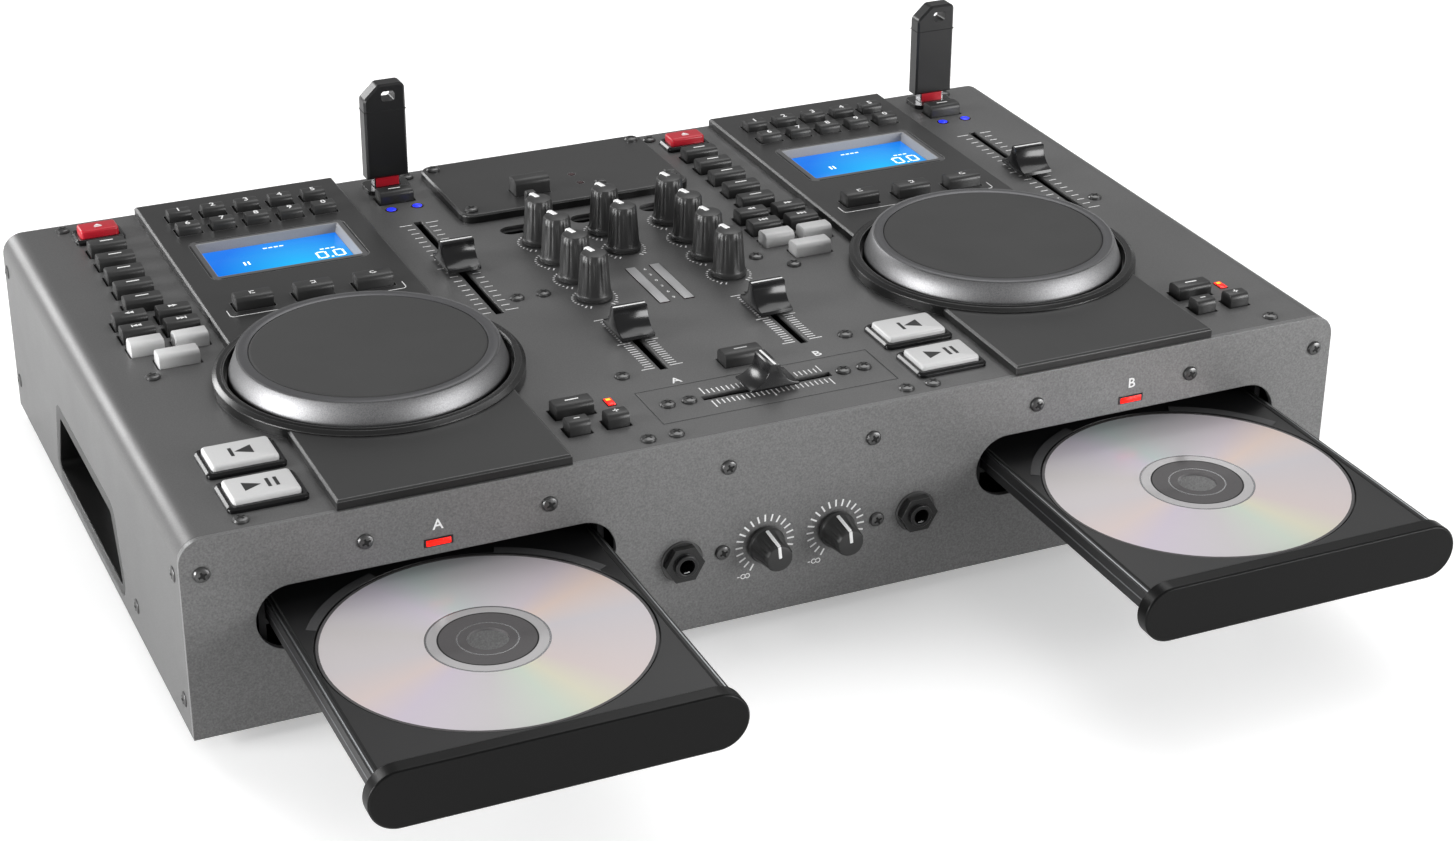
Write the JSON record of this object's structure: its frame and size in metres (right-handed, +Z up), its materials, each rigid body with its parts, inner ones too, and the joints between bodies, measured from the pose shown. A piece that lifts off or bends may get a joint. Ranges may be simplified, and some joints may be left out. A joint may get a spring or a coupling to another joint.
{
  "type": "dual disc player",
  "caption": "Tabletop dual disc player with a built-in mixer: jog wheels, displays, faders, knobs and keys on top, slide-out disc trays in front.",
  "frame": {"origin": "on the floor under the middle of the casing, trays left out", "axes": "+X to the right of someone at the controls, +Y from the front panel towards the rear sockets, +Z up"},
  "size_m": [0.4842, 0.4295, 0.1375],
  "materials": {
    "cover_paint": "powder coat, fine texture",
    "panel_paint": "powder coat, fine speckle",
    "plate_paint": "satin paint",
    "base_paint": "satin paint",
    "rubber_black": "matt",
    "case_plastic": "fine texture",
    "key_rubber": "matt",
    "knob_plastic": "satin",
    "gloss_black": "gloss",
    "grey_plastic": "satin",
    "red_plastic": "satin",
    "jog_silver": "silver lacquer",
    "pad_rubber": "matt",
    "display_plastic": "satin",
    "lens_red": "clear tinted",
    "screw_black": "black oxide",
    "chrome": "polished",
    "disc_film": "metallised polycarbonate",
    "board_green": "solder mask",
    "frame_steel": "zinc plated",
    "socket_plastic": "satin"
  },
  "bodies": {
    "chassis": {"top_cover": "cover_paint", "front_panel": "panel_paint", "base_pan": "base_paint", "side_grips": "case_plastic", "feet": "rubber_black", "screws": "screw_black", "displays": "display_plastic", "deck_plate_a": "plate_paint", "deck_plate_b": "plate_paint", "mixer_plate": "plate_paint", "crossfader_plate": "plate_paint", "button_surrounds": "gloss_black", "indicator_lenses": "lens_red", "control_bodies": "case_plastic", "sockets": "socket_plastic", "disc_drives": "frame_steel", "circuit_boards": "board_green"},
    "tray_a": {"tray_a": "case_plastic", "tray_front_a": "case_plastic"},
    "disc_a": {"disc_a": "disc_film"},
    "jog_a": {"jog_wheel_a": "jog_silver", "jog_pad_a": "pad_rubber"},
    "tray_b": {"tray_b": "case_plastic", "tray_front_b": "case_plastic"},
    "disc_b": {"disc_b": "disc_film"},
    "jog_b": {"jog_wheel_b": "jog_silver", "jog_pad_b": "pad_rubber"},
    "wireless_link_key": {"wireless_link_key": "key_rubber"},
    "fader_start_key": {"fader_start_key": "key_rubber"},
    "crossfader": {"crossfader": "knob_plastic"},
    "cue_mix_knob": {"cue_mix_knob": "knob_plastic"},
    "master_knob": {"master_knob": "knob_plastic"},
    "mic_level_knob": {"mic_level_knob": "knob_plastic"},
    "cue_level_knob": {"cue_level_knob": "knob_plastic"},
    "cue_switch": {"cue_switch": "knob_plastic"},
    "power_switch": {"power_switch": "gloss_black"},
    "deck_keys_a": {"deck_keys_a": "key_rubber"},
    "eject_button_a": {"eject_button_a": "red_plastic"},
    "cue_button_a": {"cue_button_a": "grey_plastic"},
    "play_button_a": {"play_button_a": "grey_plastic"},
    "pitch_fader_a": {"pitch_fader_a": "knob_plastic"},
    "channel_fader_a": {"channel_fader_a": "knob_plastic"},
    "source_switch_a": {"source_switch_a": "knob_plastic"},
    "memory_stick_a": {"memory_stick_a": "gloss_black"},
    "gain_knob_a": {"gain_knob_a": "knob_plastic"},
    "high_knob_a": {"high_knob_a": "knob_plastic"},
    "mid_knob_a": {"mid_knob_a": "knob_plastic"},
    "low_knob_a": {"low_knob_a": "knob_plastic"},
    "deck_keys_b": {"deck_keys_b": "key_rubber"},
    "eject_button_b": {"eject_button_b": "red_plastic"},
    "cue_button_b": {"cue_button_b": "grey_plastic"},
    "play_button_b": {"play_button_b": "grey_plastic"},
    "pitch_fader_b": {"pitch_fader_b": "knob_plastic"},
    "channel_fader_b": {"channel_fader_b": "knob_plastic"},
    "source_switch_b": {"source_switch_b": "knob_plastic"},
    "memory_stick_b": {"memory_stick_b": "gloss_black"},
    "gain_knob_b": {"gain_knob_b": "knob_plastic"},
    "high_knob_b": {"high_knob_b": "knob_plastic"},
    "mid_knob_b": {"mid_knob_b": "knob_plastic"},
    "low_knob_b": {"low_knob_b": "knob_plastic"}
  },
  "joints": [
    {"name": "tray_a_slide", "type": "slide", "parent": "chassis", "child": "tray_a", "axis": [0, -1, 0], "range_m": [-0.123, 0]},
    {"name": "tray_b_slide", "type": "slide", "parent": "chassis", "child": "tray_b", "axis": [0, -1, 0], "range_m": [-0.123, 0]},
    {"name": "jog_a_turn", "type": "hinge", "parent": "chassis", "child": "jog_a", "pos_m": [-0.138, -0.047, 0.087], "axis": [0, 0, 1], "continuous": true},
    {"name": "jog_b_turn", "type": "hinge", "parent": "chassis", "child": "jog_b", "pos_m": [0.138, -0.047, 0.087], "axis": [0, 0, 1], "continuous": true},
    {"name": "pitch_fader_a_slide", "type": "slide", "parent": "chassis", "child": "pitch_fader_a", "axis": [0, 1, 0], "range_m": [-0.05, 0.05]},
    {"name": "pitch_fader_b_slide", "type": "slide", "parent": "chassis", "child": "pitch_fader_b", "axis": [0, 1, 0], "range_m": [-0.05, 0.05]},
    {"name": "channel_fader_a_slide", "type": "slide", "parent": "chassis", "child": "channel_fader_a", "axis": [0, 1, 0], "range_m": [-0.034, 0.016]},
    {"name": "channel_fader_b_slide", "type": "slide", "parent": "chassis", "child": "channel_fader_b", "axis": [0, 1, 0], "range_m": [-0.034, 0.016]},
    {"name": "crossfader_slide", "type": "slide", "parent": "chassis", "child": "crossfader", "axis": [1, 0, 0], "range_m": [-0.025, 0.025]},
    {"name": "source_switch_a_slide", "type": "slide", "parent": "chassis", "child": "source_switch_a", "axis": [1, 0, 0], "range_m": [-0.01, 0]},
    {"name": "source_switch_b_slide", "type": "slide", "parent": "chassis", "child": "source_switch_b", "axis": [1, 0, 0], "range_m": [-0.01, 0]},
    {"name": "cue_switch_slide", "type": "slide", "parent": "chassis", "child": "cue_switch", "axis": [1, 0, 0], "range_m": [-0.01, 0]},
    {"name": "disc_a_lift", "type": "slide", "parent": "tray_a", "child": "disc_a", "axis": [0, 0, 1], "range_m": [0, 0.0065]},
    {"name": "disc_b_lift", "type": "slide", "parent": "tray_b", "child": "disc_b", "axis": [0, 0, 1], "range_m": [0, 0.0065]},
    {"name": "memory_stick_a_pull", "type": "slide", "parent": "chassis", "child": "memory_stick_a", "axis": [0, 0, 1], "range_m": [0, 0.0115]},
    {"name": "memory_stick_b_pull", "type": "slide", "parent": "chassis", "child": "memory_stick_b", "axis": [0, 0, 1], "range_m": [0, 0.0115]},
    {"name": "mic_level_knob_turn", "type": "hinge", "parent": "chassis", "child": "mic_level_knob", "pos_m": [-0.0151, -0.149, 0.037], "axis": [0, 1, 0], "range_deg": [-150, 150]},
    {"name": "cue_level_knob_turn", "type": "hinge", "parent": "chassis", "child": "cue_level_knob", "pos_m": [0.0151, -0.149, 0.037], "axis": [0, 1, 0], "range_deg": [-150, 150]},
    {"name": "cue_mix_knob_turn", "type": "hinge", "parent": "chassis", "child": "cue_mix_knob", "pos_m": [0, 0.05, 0.087], "axis": [0, 0, 1], "range_deg": [-150, 150]},
    {"name": "master_knob_turn", "type": "hinge", "parent": "chassis", "child": "master_knob", "pos_m": [0, 0.0288, 0.087], "axis": [0, 0, 1], "range_deg": [-150, 150]},
    {"name": "gain_knob_a_turn", "type": "hinge", "parent": "chassis", "child": "gain_knob_a", "pos_m": [-0.0304, 0.05, 0.087], "axis": [0, 0, 1], "range_deg": [-150, 150]},
    {"name": "gain_knob_b_turn", "type": "hinge", "parent": "chassis", "child": "gain_knob_b", "pos_m": [0.0304, 0.05, 0.087], "axis": [0, 0, 1], "range_deg": [-150, 150]},
    {"name": "high_knob_a_turn", "type": "hinge", "parent": "chassis", "child": "high_knob_a", "pos_m": [-0.0304, 0.0288, 0.087], "axis": [0, 0, 1], "range_deg": [-150, 150]},
    {"name": "high_knob_b_turn", "type": "hinge", "parent": "chassis", "child": "high_knob_b", "pos_m": [0.0304, 0.0288, 0.087], "axis": [0, 0, 1], "range_deg": [-150, 150]},
    {"name": "mid_knob_a_turn", "type": "hinge", "parent": "chassis", "child": "mid_knob_a", "pos_m": [-0.0304, 0.0076, 0.087], "axis": [0, 0, 1], "range_deg": [-150, 150]},
    {"name": "mid_knob_b_turn", "type": "hinge", "parent": "chassis", "child": "mid_knob_b", "pos_m": [0.0304, 0.0076, 0.087], "axis": [0, 0, 1], "range_deg": [-150, 150]},
    {"name": "low_knob_a_turn", "type": "hinge", "parent": "chassis", "child": "low_knob_a", "pos_m": [-0.0304, -0.0136, 0.087], "axis": [0, 0, 1], "range_deg": [-150, 150]},
    {"name": "low_knob_b_turn", "type": "hinge", "parent": "chassis", "child": "low_knob_b", "pos_m": [0.0304, -0.0136, 0.087], "axis": [0, 0, 1], "range_deg": [-150, 150]},
    {"name": "eject_button_a_press", "type": "slide", "parent": "chassis", "child": "eject_button_a", "axis": [0, 0, -1], "range_m": [0, 0.001], "stiffness_N_per_m": 600, "springref_m": -0.0005},
    {"name": "cue_button_a_press", "type": "slide", "parent": "chassis", "child": "cue_button_a", "axis": [0, 0, -1], "range_m": [0, 0.001], "stiffness_N_per_m": 600, "springref_m": -0.0005},
    {"name": "play_button_a_press", "type": "slide", "parent": "chassis", "child": "play_button_a", "axis": [0, 0, -1], "range_m": [0, 0.001], "stiffness_N_per_m": 600, "springref_m": -0.0005},
    {"name": "eject_button_b_press", "type": "slide", "parent": "chassis", "child": "eject_button_b", "axis": [0, 0, -1], "range_m": [0, 0.001], "stiffness_N_per_m": 600, "springref_m": -0.0005},
    {"name": "cue_button_b_press", "type": "slide", "parent": "chassis", "child": "cue_button_b", "axis": [0, 0, -1], "range_m": [0, 0.001], "stiffness_N_per_m": 600, "springref_m": -0.0005},
    {"name": "play_button_b_press", "type": "slide", "parent": "chassis", "child": "play_button_b", "axis": [0, 0, -1], "range_m": [0, 0.001], "stiffness_N_per_m": 600, "springref_m": -0.0005},
    {"name": "deck_keys_a_press", "type": "slide", "parent": "chassis", "child": "deck_keys_a", "axis": [0, 0, -1], "range_m": [0, 0.001], "stiffness_N_per_m": 6000, "springref_m": -0.0005},
    {"name": "deck_keys_b_press", "type": "slide", "parent": "chassis", "child": "deck_keys_b", "axis": [0, 0, -1], "range_m": [0, 0.001], "stiffness_N_per_m": 6000, "springref_m": -0.0005},
    {"name": "wireless_link_key_press", "type": "slide", "parent": "chassis", "child": "wireless_link_key", "axis": [0, 0, -1], "range_m": [0, 0.001], "stiffness_N_per_m": 400, "springref_m": -0.0005},
    {"name": "fader_start_key_press", "type": "slide", "parent": "chassis", "child": "fader_start_key", "axis": [0, 0, -1], "range_m": [0, 0.001], "stiffness_N_per_m": 400, "springref_m": -0.0005},
    {"name": "power_switch_rock", "type": "hinge", "parent": "chassis", "child": "power_switch", "pos_m": [-0.155, 0.1475, 0.03], "axis": [1, 0, 0], "range_deg": [-7, 7]}
  ]
}
